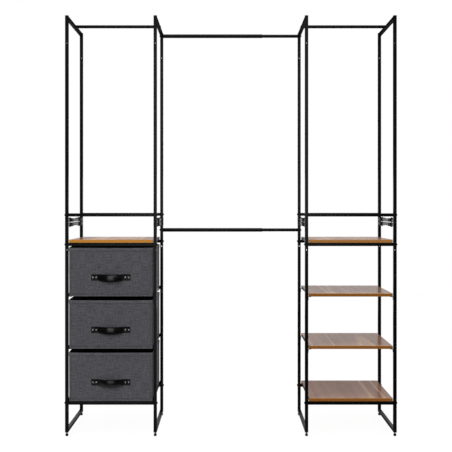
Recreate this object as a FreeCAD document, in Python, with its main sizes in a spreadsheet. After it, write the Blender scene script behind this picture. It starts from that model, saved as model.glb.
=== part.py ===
"""Open frame wardrobe: a drawer tower, a shelf tower and telescopic rods between them.

Millimetres, +Z up, front towards -Y. The origin lies on the floor under the middle of the wardrobe.
"""
import FreeCAD, Part
import os
import re

# Driving dimensions: name, value in millimetres, meaning.
SIZES = (
    ("tower_width", 450, "each tower over its posts"),
    ("frame_depth", 400, "side frames, front to back"),
    ("bay_width", 727, "clear width between the towers"),
    ("upper_frame_height", 1012, "upper side frames"),
    ("tube_width", 16, "side of the square steel tube"),
    ("tube_wall", 1.2, "wall of the square steel tube"),
    ("tube_corner", 1.5, "outer corner radius of the square tube"),
    ("closed_end", 12, "solid threaded end of a rail or rod"),
    ("collar_height", 4, "plastic collar between a lower and an upper post"),
    ("cap_height", 2, "head of a post's end cap"),
    ("cap_edge", 1, "rounding of an end cap"),
    ("cap_spigot", 8, "end cap's spigot inside the post"),
    ("joint_spigot", 20, "joint plug's spigot inside each post"),
    ("plug_clearance", 0.2, "between a plug and the inside of its tube"),
    ("foot_neck", 6, "stem that shows between a foot pad and its post"),
    ("foot_pad_radius", 7, "foot pad"),
    ("foot_pad_height", 9, "straight part of a foot pad"),
    ("foot_cone_height", 3, "tapered part of a foot pad"),
    ("foot_cone_radius", 4.5, "top of the tapered part"),
    ("foot_stem_radius", 3, "threaded stem of a foot"),
    ("foot_stem_spare", 2, "stem stops below the top of its insert"),
    ("insert_depth", 25, "threaded insert inside the post"),
    ("stem_clearance", 0.35, "between a stem and its insert"),
    ("level_bottom", 170, "top of the bottom rails above the floor"),
    ("drawer_headroom", 17.2, "drawer top to the runner above it"),
    ("top_headroom", 8.2, "top drawer to the rail above it"),
    ("board_space", 98, "top of the upper rails to the top of the lower frame"),
    ("mid_rail_gap", 7, "joint plug's spigot to the mid rail"),
    ("board_thickness", 16, "top board and shelves"),
    ("board_edge", 1, "rounding of the board edges"),
    ("board_setback", 3, "boards behind the front of the posts"),
    ("board_side_gap", 2, "board to the bracket beside it"),
    ("angle_thickness", 1.5, "sheet of runners and brackets"),
    ("runner_height", 17, "upright flange of a drawer runner"),
    ("runner_width", 18, "flat flange of a drawer runner"),
    ("bracket_height", 17, "upright leg of a shelf bracket"),
    ("bracket_width", 15, "flat tab of a shelf bracket"),
    ("hang_rod_radius", 8, "hanging rod in a tower"),
    ("rod_wall", 1.5, "wall of the round rods"),
    ("outer_rod_radius", 10, "outer telescopic rod"),
    ("outer_rod_wall", 1.2, "wall of the outer telescopic rod"),
    ("slide_clearance", 0.3, "between inner and outer rod"),
    ("outer_rod_length", 535, "outer telescopic rod"),
    ("rod_overlap", 320, "inner rod's length inside the outer rod"),
    ("upper_rod_gap", 6, "end cap's spigot to the axis of the upper centre rod"),
    ("lower_rod_gap", 25, "joint plug's spigot to the axis of the lower centre rod"),
    ("wall_hole_drop", 133, "top of a frame to its wall-fixing holes"),
    ("wall_hole_radius", 3, "wall-fixing hole"),
    ("bolt_radius", 2.5, "bolt shank"),
    ("bolt_clearance", 0.2, "between a bolt and its hole"),
    ("bolt_overhang", 3.5, "bolt head beyond its shank"),
    ("bolt_head_height", 4.5, "domed bolt head"),
    ("bolt_spare", 2, "bolt stops short of a solid end's depth"),
    ("nut_wall", 1.9, "nut's hole to its corners"),
    ("nut_height", 4, "nut"),
    ("clamp_length", 40, "clamp saddle along the crossbar"),
    ("clamp_wall", 2, "clamp saddle above or below its crossbar"),
    ("clamp_cheek", 6, "clamp saddle beside its crossbar"),
    ("clamp_clearance", 0.15, "between a saddle's cheek and the crossbar"),
    ("clamp_inset", 84, "front or back of the frame to the clamp bolt"),
    ("drawer_height", 238, "fabric drawer"),
    ("drawer_rear_gap", 4, "drawer back to the rear posts"),
    ("drawer_side_gap", 1.2, "drawer to the runner beside it"),
    ("drawer_setback", 2, "drawer front behind the front of the posts"),
    ("drawer_clearance", 0.3, "drawer above its runner"),
    ("drawer_corner", 6, "upright corners of a drawer"),
    ("fabric_wall", 4, "padded fabric walls and floor"),
    ("base_thickness", 3, "stiff board in the drawer's floor"),
    ("base_gap", 1, "base board to the drawer's walls"),
    ("strap_length", 191, "handle over its tabs"),
    ("strap_height", 30, "handle strap"),
    ("strap_thickness", 2.5, "handle strap"),
    ("strap_belly", 8, "strap's lower edge below its tabs, in the middle"),
    ("strap_reach", 22, "drawer front to the outside of the strap"),
    ("tab_length", 32, "flat end of the strap"),
    ("bow_lap", 6, "strap's bow over each tab"),
    ("handle_drop", 145, "top of the drawer to the middle of its handle"),
    ("rivet_spacing", 16.5, "between the two rivets of a tab"),
    ("rivet_radius", 1.5, "rivet shank"),
    ("rivet_clearance", 0.1, "between a rivet and its hole"),
    ("rivet_overhang", 2.5, "rivet head beyond its shank"),
    ("rivet_head_height", 1.2, "domed rivet head"),
)

# Places and sizes that follow from the driving dimensions.
PLACES = {
    "front_y": "(strap_reach - drawer_setback - frame_depth + half_tube - outer_rod_radius) / 2",
    "rear_post_y": "front_y + frame_depth - tube_width",
    "middle_y": "front_y + frame_depth / 2",
    "half_tube": "tube_width / 2",
    "tube_bore": "tube_width - 2 * tube_wall",
    "foot_lift": "foot_pad_height + foot_cone_height + foot_neck",
    "level_pitch": "drawer_lift + drawer_height + drawer_headroom",
    "top_rail_z": "level_bottom + 2 * level_pitch + drawer_lift + drawer_height + top_headroom",
    "level_top": "top_rail_z + tube_width",
    "lower_top": "level_top + board_space",
    "lower_frame_height": "lower_top - foot_lift",
    "upper_bottom": "lower_top + collar_height",
    "upper_top": "upper_bottom + upper_frame_height",
    "crossbar_length": "frame_depth - 2 * tube_width",
    "tower_clear": "tower_width - 2 * tube_width",
    "outer_x": "bay_width / 2 + tower_width",
    "inner_x": "bay_width / 2",
    "tower_middle_x": "bay_width / 2 + tower_width / 2",
    "bolt_hole": "bolt_radius + bolt_clearance",
    "bolt_length": "tube_width + closed_end - bolt_spare",
    "bolt_head_radius": "bolt_radius + bolt_overhang",
    "nut_radius": "bolt_hole + nut_wall",
    "bottom_rail_z": "level_bottom - tube_width",
    "mid_rail_lift": "joint_spigot + mid_rail_gap",
    "mid_rail_z": "upper_bottom + mid_rail_lift",
    "hang_rod_z": "upper_top - half_tube",
    "upper_rod_drop": "cap_spigot + upper_rod_gap",
    "lower_rod_drop": "joint_spigot + lower_rod_gap",
    "upper_rod_z": "upper_top - upper_rod_drop",
    "lower_rod_z": "lower_top - lower_rod_drop",
    "centre_rod_y": "rear_post_y + half_tube",
    "inner_rod_radius": "outer_rod_radius - outer_rod_wall - slide_clearance",
    "inner_rod_length": "bay_width - outer_rod_length + rod_overlap",
    "shelf_width": "tower_clear - 2 * (angle_thickness + board_side_gap)",
    "shelf_depth": "frame_depth - 2 * board_setback",
    "clamp_bolt_length": "2 * (tube_width + clamp_wall) + collar_height + nut_height",
    "plug_side": "tube_bore - 2 * plug_clearance",
    "drawer_width": "tower_clear - 2 * (angle_thickness + drawer_side_gap)",
    "drawer_depth": "frame_depth - tube_width - drawer_setback - drawer_rear_gap",
    "drawer_front_y": "front_y + drawer_setback",
    "drawer_lift": "angle_thickness + drawer_clearance",
    "bow_half": "strap_length / 2 - tab_length + bow_lap",
    "bow_radius": "(bow_half * bow_half + strap_reach * strap_reach) / (2 * strap_reach)",
    "belly_radius": "(bow_half * bow_half + strap_belly * strap_belly) / (2 * strap_belly)",
    "rivet_hole": "rivet_radius + rivet_clearance",
    "rivet_head_radius": "rivet_radius + rivet_overhang",
}

AXES = "XYZ"
ALIGNED = 0.99  # cosine above which an edge counts as parallel to an axis
DRAWERS = ("bottom", "middle", "top")
ALONG = FreeCAD.Rotation()
TO_RIGHT = FreeCAD.Rotation(FreeCAD.Vector(0, 1, 0), 90)
TO_LEFT = FreeCAD.Rotation(FreeCAD.Vector(0, 1, 0), -90)
TO_BACK = FreeCAD.Rotation(FreeCAD.Vector(1, 0, 0), -90)
UPSIDE_DOWN = FreeCAD.Rotation(FreeCAD.Vector(0, 1, 0), 180)
HALF_TURN = FreeCAD.Rotation(FreeCAD.Vector(0, 0, 1), 180)
TURN_TO = {"X": TO_RIGHT, "Y": TO_BACK, "Z": ALONG}

doc = FreeCAD.newDocument("open_frame_wardrobe")
nodes = []


def fill_sheet():
    """Write the driving dimensions to the sheet, each under its own alias."""
    sheet = doc.addObject("Spreadsheet::Sheet", "Sizes")
    for row, (alias, value, meaning) in enumerate(SIZES, 1):
        sheet.set(f"A{row}", meaning)
        sheet.set(f"B{row}", str(value))
        sheet.setAlias(f"B{row}", alias)
    doc.recompute()


def formula(text):
    """Spell a formula in size and place names as an expression on the sheet."""
    def reference(match):
        word = match.group(0)
        return f"({formula(PLACES[word])})" if word in PLACES else f"Sizes.{word}"
    return re.sub(r"[a-z_]+", reference, text)


def bind(item, **formulas):
    """Tie properties of an object to formulas."""
    for name, text in formulas.items():
        item.setExpression(name, formula(text))
    return item


def place(item, at, turn=ALONG):
    """Put an object's own origin at a point given by three formulas."""
    item.Placement = FreeCAD.Placement(FreeCAD.Vector(), turn)
    for axis, text in zip("xyz", at):
        item.setExpression(f"Placement.Base.{axis}", formula(text))
    return item


def spread(axis, along, across):
    """Three values: one for the given axis, another for the two axes across it."""
    return [along if letter == axis else across for letter in AXES]


def new_body(name):
    return doc.addObject("PartDesign::Body", name)


def add_block(body, kind, size, at=("0", "0", "0")):
    """Add a box to a body, or take one away, at a low corner in the body's frame."""
    block = body.newObject(f"PartDesign::{kind}Box", f"{body.Name}_{kind.lower()}_box")
    bind(block, Length=size[0], Width=size[1], Height=size[2])
    return place(block, at)


def add_round(body, kind, radius, height, at=("0", "0", "0"), turn=ALONG):
    """Add a cylinder to a body, or take one away, from the middle of its start face."""
    disc = body.newObject(f"PartDesign::{kind}Cylinder", f"{body.Name}_{kind.lower()}_round")
    bind(disc, Radius=radius, Height=height)
    return place(disc, at, turn)


def round_edges(body, feature, radius, axis=None):
    """Round the edges of a feature that run along an axis, or all of its edges."""
    doc.recompute()
    names = []
    for number, edge in enumerate(feature.Shape.Edges, 1):
        direction = edge.tangentAt(edge.FirstParameter)
        if axis is None or abs(direction[AXES.index(axis)]) > ALIGNED:
            names.append(f"Edge{number}")
    rounding = body.newObject("PartDesign::Fillet", f"{body.Name}_rounding")
    rounding.Base = (feature, names)
    return bind(rounding, Radius=radius)


def copies(name, master, spots):
    """Copies of a piece that follow its sizes, one at each (point, turn)."""
    made = []
    for number, (at, turn) in enumerate(spots, 1):
        copy = doc.addObject("Part::Compound", f"{name}_{number}")
        copy.Links = [master]
        made.append(place(copy, at, turn))
    return made


def group(name, pieces):
    """Gather pieces in one object."""
    gathered = doc.addObject("Part::Compound", name)
    gathered.Links = pieces
    return gathered


def node(item, label):
    """Name an object as one finished piece, or one group of like pieces."""
    item.Label = label
    nodes.append(item)
    return item


def drill_across(body, tube_axis, hole_axis, distance, radius):
    """Drill through both walls of a square tube, at a distance along it."""
    at = []
    for letter in AXES:
        if letter == hole_axis:
            at.append("0 - tube_wall")
        else:
            at.append(distance if letter == tube_axis else "half_tube")
    add_round(body, "Subtractive", radius, "tube_width + 2 * tube_wall", at, TURN_TO[hole_axis])


def square_tube(name, axis, length, end="0"):
    """Square steel tube along an axis, open or with solid ends of the given length."""
    body = new_body(name)
    outside = add_block(body, "Additive", spread(axis, length, "tube_width"))
    round_edges(body, outside, "tube_corner", axis)
    bore_length = f"{length} - 2 * {end}"
    add_block(body, "Subtractive", spread(axis, bore_length, "tube_bore"), spread(axis, end, "tube_wall"))
    return body


def post(name, height, bolt_heights, wall_hole_height):
    """Upright of a side frame, drilled sideways for bolts and front to back for the wall fixing."""
    body = square_tube(name, "Z", height)
    for distance in bolt_heights:
        drill_across(body, "Z", "X", distance, "bolt_hole")
    drill_across(body, "Z", "Y", wall_hole_height, "wall_hole_radius")
    return body


def crossbar(name, hole_axis=None, distances=()):
    """Crossbar of a side frame, between its posts."""
    body = square_tube(name, "Y", "crossbar_length")
    for distance in distances:
        drill_across(body, "Y", hole_axis, distance, "bolt_hole")
    return body


def rail_tube():
    """Rail between the side frames, with a bolt hole in each solid end."""
    body = square_tube("rail", "X", "tower_clear", "closed_end")
    hole_length = "closed_end + 2 * tube_wall"
    for start in ("0 - tube_wall", "tower_clear - closed_end - tube_wall"):
        add_round(body, "Subtractive", "bolt_hole", hole_length, (start, "half_tube", "half_tube"), TO_RIGHT)
    return body


def round_rod(name, length, radius, wall, left_end, right_end):
    """Round tube along its own Z axis; an end longer than nothing is solid, with a bolt hole."""
    body = new_body(name)
    add_round(body, "Additive", radius, length)
    bore_length = f"{length} - {left_end} - {right_end}"
    add_round(body, "Subtractive", f"{radius} - {wall}", bore_length, ("0", "0", left_end))
    for start, end in (("0", left_end), (f"{length} - {right_end}", right_end)):
        if end != "0":
            add_round(body, "Subtractive", "bolt_hole", end, ("0", "0", start))
    return body


def angle_runner():
    """L-angle that carries a drawer: flat flange inwards, upright flange along the posts."""
    body = new_body("runner")
    add_block(body, "Additive", ("runner_width", "frame_depth", "angle_thickness"))
    add_block(body, "Additive", ("angle_thickness", "frame_depth", "runner_height"))
    return body


def shelf_bracket():
    """L-bracket on one post: tab under the shelf, leg down the post. Its top is at zero."""
    body = new_body("bracket")
    tab_at = ("0", "0", "0 - angle_thickness")
    add_block(body, "Additive", ("bracket_width", "tube_width", "angle_thickness"), tab_at)
    leg_at = ("0", "0", "0 - bracket_height")
    add_block(body, "Additive", ("angle_thickness", "tube_width", "bracket_height"), leg_at)
    return body


def dome_fastener(name, radius, length, head_radius, head_height):
    """Dome-head bolt or rivet: seat at zero, shank along +Z, head on the other side."""
    shank = bind(doc.addObject("Part::Cylinder", f"{name}_shank"), Radius=radius, Height=length)
    dome_radius = f"({head_radius} * {head_radius} + {head_height} * {head_height}) / (2 * {head_height})"
    ball = bind(doc.addObject("Part::Sphere", f"{name}_ball"), Radius=dome_radius)
    place(ball, ("0", "0", f"{dome_radius} - {head_height}"))
    trim = doc.addObject("Part::Cylinder", f"{name}_trim")
    bind(trim, Radius=head_radius, Height=head_height)
    place(trim, ("0", "0", f"0 - {head_height}"))
    head = doc.addObject("Part::Common", f"{name}_head")
    head.Base = ball
    head.Tool = trim
    fastener = doc.addObject("Part::Fuse", name)
    fastener.Base = shank
    fastener.Tool = head
    return fastener


def hex_nut():
    """Nut of a clamp bolt, from zero upwards."""
    blank = doc.addObject("Part::Prism", "nut_blank")
    blank.Polygon = 6
    bind(blank, Circumradius="nut_radius", Height="nut_height")
    bore = bind(doc.addObject("Part::Cylinder", "nut_bore"), Radius="bolt_hole", Height="nut_height")
    nut = doc.addObject("Part::Cut", "nut")
    nut.Base = blank
    nut.Tool = bore
    return nut


def clamp_saddle():
    """Saddle over a crossbar that stands on zero, drilled for its bolt."""
    body = new_body("saddle")
    reach = "half_tube + clamp_clearance + clamp_cheek"
    size = (f"2 * ({reach})", "clamp_length", "tube_width + clamp_wall")
    add_block(body, "Additive", size, (f"0 - ({reach})", "0 - clamp_length / 2", "0"))
    slot = ("tube_width + 2 * clamp_clearance", "clamp_length", "tube_width")
    slot_at = ("0 - half_tube - clamp_clearance", "0 - clamp_length / 2", "0")
    add_block(body, "Subtractive", slot, slot_at)
    add_round(body, "Subtractive", "bolt_hole", "clamp_wall", ("0", "0", "tube_width"))
    return body


def end_cap():
    """Cap on a post's top: head above zero, spigot below, centred on the post."""
    body = new_body("cap")
    head_at = ("0 - half_tube", "0 - half_tube", "0")
    head = add_block(body, "Additive", ("tube_width", "tube_width", "cap_height"), head_at)
    round_edges(body, head, "cap_edge", "Z")
    add_spigot(body, "cap_spigot", "0 - cap_spigot")
    return body


def add_spigot(body, length, start):
    """Square spigot of a plug, centred on the post."""
    at = ("0 - plug_side / 2", "0 - plug_side / 2", start)
    return add_block(body, "Additive", ("plug_side", "plug_side", length), at)


def joint_plug():
    """Plug that lines an upper post up on a lower one: collar from zero, spigots up and down."""
    body = new_body("joint")
    collar_at = ("0 - half_tube", "0 - half_tube", "0")
    collar = add_block(body, "Additive", ("tube_width", "tube_width", "collar_height"), collar_at)
    round_edges(body, collar, "tube_corner", "Z")
    add_spigot(body, "joint_spigot", "0 - joint_spigot")
    add_spigot(body, "joint_spigot", "collar_height")
    return body


def foot_insert():
    """Threaded insert in a post's bottom, from zero upwards."""
    body = new_body("insert")
    add_spigot(body, "insert_depth", "0")
    add_round(body, "Subtractive", "foot_stem_radius + stem_clearance", "insert_depth")
    return body


def levelling_foot():
    """Foot on the floor: straight pad, tapered pad, threaded stem."""
    body = new_body("foot")
    add_round(body, "Additive", "foot_pad_radius", "foot_pad_height")
    cone = body.newObject("PartDesign::AdditiveCone", "foot_cone")
    bind(cone, Radius1="foot_pad_radius", Radius2="foot_cone_radius", Height="foot_cone_height")
    place(cone, ("0", "0", "foot_pad_height"))
    stem_length = "foot_lift + insert_depth - foot_stem_spare - foot_pad_height"
    add_round(body, "Additive", "foot_stem_radius", stem_length, ("0", "0", "foot_pad_height"))
    return body


def board(name, width, depth):
    """Wood-look board with eased edges."""
    body = new_body(name)
    slab = add_block(body, "Additive", (width, depth, "board_thickness"))
    round_edges(body, slab, "board_edge")
    return body


def rivet_places():
    """Middle of each rivet across the drawer front, from the middle of the handle."""
    places = []
    for side in ("0 -", "0 +"):
        tab_middle = f"{side} (strap_length - tab_length) / 2"
        for step in ("- rivet_spacing / 2", "+ rivet_spacing / 2"):
            places.append(f"{tab_middle} {step}")
    return places


def fabric_box():
    """Open-topped drawer, its front bottom edge centred at zero, rivet holes in the front."""
    body = new_body("drawer_box")
    shell_at = ("0 - drawer_width / 2", "0", "0")
    shell = add_block(body, "Additive", ("drawer_width", "drawer_depth", "drawer_height"), shell_at)
    round_edges(body, shell, "drawer_corner", "Z")
    width, depth = [f"{side} - 2 * fabric_wall" for side in ("drawer_width", "drawer_depth")]
    hollow_at = ("fabric_wall - drawer_width / 2", "fabric_wall", "fabric_wall")
    add_block(body, "Subtractive", (width, depth, "drawer_height - fabric_wall"), hollow_at)
    for x in rivet_places():
        hole_at = (x, "0", "drawer_height - handle_drop")
        add_round(body, "Subtractive", "rivet_hole", "fabric_wall", hole_at, TO_BACK)
    return body


def drawer_base():
    """Stiff board that lies in the drawer, in the drawer's own frame."""
    body = new_body("drawer_base")
    inset = "fabric_wall + base_gap"
    size = (f"drawer_width - 2 * ({inset})", f"drawer_depth - 2 * ({inset})", "base_thickness")
    add_block(body, "Additive", size, (f"{inset} - drawer_width / 2", inset, "fabric_wall"))
    return body


def strap_handle():
    """Strap that bows out and bellies down between two flat tabs, centred at zero on the drawer front."""
    low = "0 - strap_height / 2"
    bow_low = f"{low} - strap_belly"
    bow_height = "strap_height + strap_belly"
    rings = []
    for name, radius in (("bow_outside", "bow_radius"), ("bow_inside", "bow_radius - strap_thickness")):
        ring = bind(doc.addObject("Part::Cylinder", name), Radius=radius, Height=bow_height)
        rings.append(place(ring, ("0", "bow_radius - strap_reach", bow_low)))
    ring = doc.addObject("Part::Cut", "bow_ring")
    ring.Base, ring.Tool = rings
    front_side = doc.addObject("Part::Box", "bow_front_side")
    bind(front_side, Length="2 * bow_radius", Width="strap_reach", Height=bow_height)
    place(front_side, ("0 - bow_radius", "0 - strap_reach", bow_low))
    belly = bind(doc.addObject("Part::Cylinder", "belly"), Radius="belly_radius", Height="strap_reach")
    place(belly, ("0", "0 - strap_reach", f"{bow_low} + belly_radius"), TO_BACK)
    bow = doc.addObject("Part::MultiCommon", "bow")
    bow.Shapes = [ring, front_side, belly]
    pieces = [bow]
    for name, x in (("tab_left", "0 - strap_length / 2"), ("tab_right", "strap_length / 2 - tab_length")):
        tab = doc.addObject("Part::Box", name)
        bind(tab, Length="tab_length", Width="strap_thickness", Height="strap_height")
        pieces.append(place(tab, (x, "0 - strap_thickness", low)))
    strap = doc.addObject("Part::MultiFuse", "strap")
    strap.Shapes = pieces
    drill = doc.addObject("Part::Cylinder", "rivet_drill")
    bind(drill, Radius="rivet_hole", Height="strap_thickness")
    spots = [((x, "0 - strap_thickness", "0"), TO_BACK) for x in rivet_places()]
    handle = doc.addObject("Part::Cut", "handle")
    handle.Base = strap
    handle.Tool = group("rivet_drills", copies("rivet_drilled", drill, spots))
    return handle


def handle_rivets():
    """Rivets through a handle's tabs and the drawer front, in the handle's frame."""
    length = "strap_thickness + fabric_wall"
    rivet = dome_fastener("rivet", "rivet_radius", length, "rivet_head_radius", "rivet_head_height")
    spots = [((x, "0 - strap_thickness", "0"), TO_BACK) for x in rivet_places()]
    return group("handle_rivets", copies("handle_rivet", rivet, spots))


def make_parts():
    """Make one of each piece, in its own frame."""
    made = {}
    rail_bolts = []
    for rail_z in ("bottom_rail_z", "top_rail_z"):
        rail_bolts.append(f"{rail_z} + half_tube - foot_lift")
    lower_wall_hole = "lower_frame_height - wall_hole_drop"
    lower_rod_bolt = "lower_frame_height - lower_rod_drop"
    made["lower_post"] = post("lower_post", "lower_frame_height", rail_bolts, lower_wall_hole)
    made["lower_rod_post"] = post(
        "lower_rod_post", "lower_frame_height", rail_bolts + [lower_rod_bolt], lower_wall_hole)
    mid_bolt = "mid_rail_lift + half_tube"
    upper_wall_hole = "upper_frame_height - wall_hole_drop"
    upper_rod_bolt = "upper_frame_height - upper_rod_drop"
    made["upper_post"] = post("upper_post", "upper_frame_height", [mid_bolt], upper_wall_hole)
    made["upper_rod_post"] = post(
        "upper_rod_post", "upper_frame_height", [mid_bolt, upper_rod_bolt], upper_wall_hole)
    clamp_spots = ["clamp_inset - tube_width", "frame_depth - clamp_inset - tube_width"]
    made["plain_bar"] = crossbar("plain_bar")
    made["clamp_bar"] = crossbar("clamp_bar", "Z", clamp_spots)
    made["rod_bar"] = crossbar("rod_bar", "X", ["crossbar_length / 2"])
    made["rail"] = rail_tube()
    made["runner"] = angle_runner()
    made["bracket"] = shelf_bracket()
    made["hang_rod"] = round_rod(
        "hang_rod", "tower_clear", "hang_rod_radius", "rod_wall", "closed_end", "closed_end")
    made["outer_rod"] = round_rod(
        "outer_rod", "outer_rod_length", "outer_rod_radius", "outer_rod_wall", "closed_end", "0")
    made["inner_rod"] = round_rod(
        "inner_rod", "inner_rod_length", "inner_rod_radius", "rod_wall", "0", "closed_end")
    for name in ("bolt", "clamp_bolt"):
        made[name] = dome_fastener(
            name, "bolt_radius", f"{name}_length", "bolt_head_radius", "bolt_head_height")
    made["nut"] = hex_nut()
    made["saddle"] = clamp_saddle()
    made["cap"] = end_cap()
    made["joint"] = joint_plug()
    made["insert"] = foot_insert()
    made["foot"] = levelling_foot()
    made["shelf"] = board("shelf", "shelf_width", "shelf_depth")
    made["drawer_box"] = fabric_box()
    made["drawer_base"] = drawer_base()
    made["handle"] = strap_handle()
    made["rivets"] = handle_rivets()
    return made


def tower_sides(tower):
    """For each side of a tower: its name, its low X, and whether it faces the centre bay."""
    if tower == "drawer_tower":
        return (("left", "0 - outer_x", False), ("right", "0 - inner_x - tube_width", True))
    return (("left", "inner_x", True), ("right", "outer_x - tube_width", False))


def tower_middle(tower):
    return "0 - tower_middle_x" if tower == "drawer_tower" else "tower_middle_x"


def level(number):
    return f"level_bottom + {number} * level_pitch"


def runners(made):
    """Drawer runners on the inner faces of the drawer tower's lower frames."""
    spots = []
    for side, x, _ in tower_sides("drawer_tower"):
        for number in range(len(DRAWERS)):
            if side == "left":
                spots.append(((f"{x} + tube_width", "front_y", level(number)), ALONG))
            else:
                spots.append(((x, "front_y + frame_depth", level(number)), HALF_TURN))
    label = "drawer_tower_runners"
    node(group(label, copies(label + "_angle", made["runner"], spots)), label)


def brackets(name, made, side, x):
    """Shelf brackets on the inner faces of one lower frame of the shelf tower."""
    spots = []
    for number in (1, 2):
        for post_y in ("front_y", "rear_post_y"):
            if side == "left":
                spots.append(((f"{x} + tube_width", post_y, level(number)), ALONG))
            else:
                spots.append(((x, f"{post_y} + tube_width", level(number)), HALF_TURN))
    return copies(f"{name}_bracket", made["bracket"], spots)


def side_frames(made, tower):
    """Lower and upper welded frame on each side of a tower."""
    for side, x, at_bay in tower_sides(tower):
        for tier, bottom, height, bars in (
                ("lower", "foot_lift", "lower_frame_height", ("plain_bar", "clamp_bar")),
                ("upper", "upper_bottom", "upper_frame_height", ("clamp_bar", "rod_bar"))):
            name = f"{tower}_{side}_{tier}_frame"
            rear_post = f"{tier}_rod_post" if at_bay else f"{tier}_post"
            pieces = copies(f"{name}_front", made[f"{tier}_post"], [((x, "front_y", bottom), ALONG)])
            pieces += copies(f"{name}_rear", made[rear_post], [((x, "rear_post_y", bottom), ALONG)])
            bar_y = "front_y + tube_width"
            for bar, bar_z in zip(bars, (bottom, f"{bottom} + {height} - tube_width")):
                pieces += copies(f"{name}_{bar}", made[bar], [((x, bar_y, bar_z), ALONG)])
            if tower == "shelf_tower" and tier == "lower":
                pieces += brackets(name, made, side, x)
            node(group(name, pieces), name)


def tower_rails(made, tower):
    """Front and rear rails at three levels, and the hanging rod."""
    start = f"{tower_middle(tower)} - tower_clear / 2"
    for rail_level in ("bottom", "top", "mid"):
        for place_name, y in (("front", "front_y"), ("rear", "rear_post_y")):
            label = f"{tower}_{rail_level}_{place_name}_rail"
            spot = ((start, y, f"{rail_level}_rail_z"), ALONG)
            node(copies(label, made["rail"], [spot])[0], label)
    label = f"{tower}_hanging_rod"
    node(copies(label, made["hang_rod"], [((start, "middle_y", "hang_rod_z"), TO_RIGHT)])[0], label)


def tower_bolts(made, tower):
    """Bolts of rails, rods and clamps, with the clamps' nuts."""
    rail_spots = []
    clamp_spots = []
    nut_spots = []
    for side, x, at_bay in tower_sides(tower):
        outer_face = x if side == "left" else f"{x} + tube_width"
        inwards = TO_RIGHT if side == "left" else TO_LEFT
        for z in ("bottom_rail_z", "top_rail_z", "mid_rail_z"):
            for y in ("front_y", "rear_post_y"):
                rail_spots.append(((outer_face, f"{y} + half_tube", f"{z} + half_tube"), inwards))
        rail_spots.append(((outer_face, "middle_y", "hang_rod_z"), inwards))
        if at_bay:
            inner_face = f"{x} + tube_width" if side == "left" else x
            towards_bay = TO_LEFT if side == "left" else TO_RIGHT
            for z in ("upper_rod_z", "lower_rod_z"):
                rail_spots.append(((inner_face, "centre_rod_y", z), towards_bay))
        for y in ("front_y + clamp_inset", "front_y + frame_depth - clamp_inset"):
            middle = f"{x} + half_tube"
            clamp_spots.append(((middle, y, "upper_bottom + tube_width + clamp_wall"), UPSIDE_DOWN))
            nut_spots.append(((middle, y, "lower_top - tube_width - clamp_wall - nut_height"), ALONG))
    label = f"{tower}_bolts"
    pieces = copies(f"{tower}_bolt", made["bolt"], rail_spots)
    pieces += copies(f"{tower}_clamp_bolt", made["clamp_bolt"], clamp_spots)
    pieces += copies(f"{tower}_nut", made["nut"], nut_spots)
    node(group(label, pieces), label)


def tower_clamps(made, tower):
    """Saddles over the stacked crossbars where an upper frame stands on a lower one."""
    spots = []
    for _, x, _ in tower_sides(tower):
        for y in ("front_y + clamp_inset", "front_y + frame_depth - clamp_inset"):
            spots.append(((f"{x} + half_tube", y, "upper_bottom"), ALONG))
            spots.append(((f"{x} + half_tube", y, "lower_top"), UPSIDE_DOWN))
    label = f"{tower}_frame_clamps"
    node(group(label, copies(label + "_saddle", made["saddle"], spots)), label)


def post_ends(made, tower):
    """Feet, foot inserts, joint plugs and end caps of the four posts."""
    inserts = []
    plugs = []
    caps = []
    for side, x, _ in tower_sides(tower):
        for place_name, post_y in (("front", "front_y"), ("rear", "rear_post_y")):
            middle = (f"{x} + half_tube", f"{post_y} + half_tube")
            label = f"{tower}_{side}_{place_name}_foot"
            node(copies(label, made["foot"], [((*middle, "0"), ALONG)])[0], label)
            inserts.append(((*middle, "foot_lift"), ALONG))
            plugs.append(((*middle, "lower_top"), ALONG))
            caps.append(((*middle, "upper_top"), ALONG))
    label = f"{tower}_foot_inserts"
    node(group(label, copies(label + "_insert", made["insert"], inserts)), label)
    label = f"{tower}_post_plugs"
    pieces = copies(f"{tower}_joint_plug", made["joint"], plugs)
    pieces += copies(f"{tower}_end_cap", made["cap"], caps)
    node(group(label, pieces), label)


def boards(made):
    """Top board over the drawers and the four shelves."""
    y = "front_y + board_setback"
    spots = [("drawer_tower_top_board", "drawer_tower", "level_top")]
    heights = ("level_top", level(2), level(1), "level_bottom")
    for number, z in enumerate(heights, 1):
        spots.append((f"shelf_tower_shelf_{number}", "shelf_tower", z))
    for label, tower, z in spots:
        x = f"{tower_middle(tower)} - shelf_width / 2"
        node(copies(label, made["shelf"], [((x, y, z), ALONG)])[0], label)


def drawers(made):
    """Three drawers on their runners, each with base board, handle and rivets."""
    x = tower_middle("drawer_tower")
    for number, name in enumerate(DRAWERS):
        z = f"{level(number)} + drawer_lift"
        handle_z = f"{z} + drawer_height - handle_drop"
        for part, part_z, piece in (
                ("box", z, "drawer_box"),
                ("base_board", z, "drawer_base"),
                ("handle", handle_z, "handle"),
                ("rivets", handle_z, "rivets")):
            label = f"{name}_drawer_{part}"
            node(copies(label, made[piece], [((x, "drawer_front_y", part_z), ALONG)])[0], label)


def centre_rods(made):
    """Upper and lower telescopic rods between the rear posts of the towers."""
    for name in ("upper", "lower"):
        height = f"{name}_rod_z"
        outer_spot = (("0 - inner_x", "centre_rod_y", height), TO_RIGHT)
        inner_spot = (("inner_x - inner_rod_length", "centre_rod_y", height), TO_RIGHT)
        for part, spot in (("outer", outer_spot), ("inner", inner_spot)):
            label = f"{name}_centre_rod_{part}"
            node(copies(label, made[f"{part}_rod"], [spot])[0], label)


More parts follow.
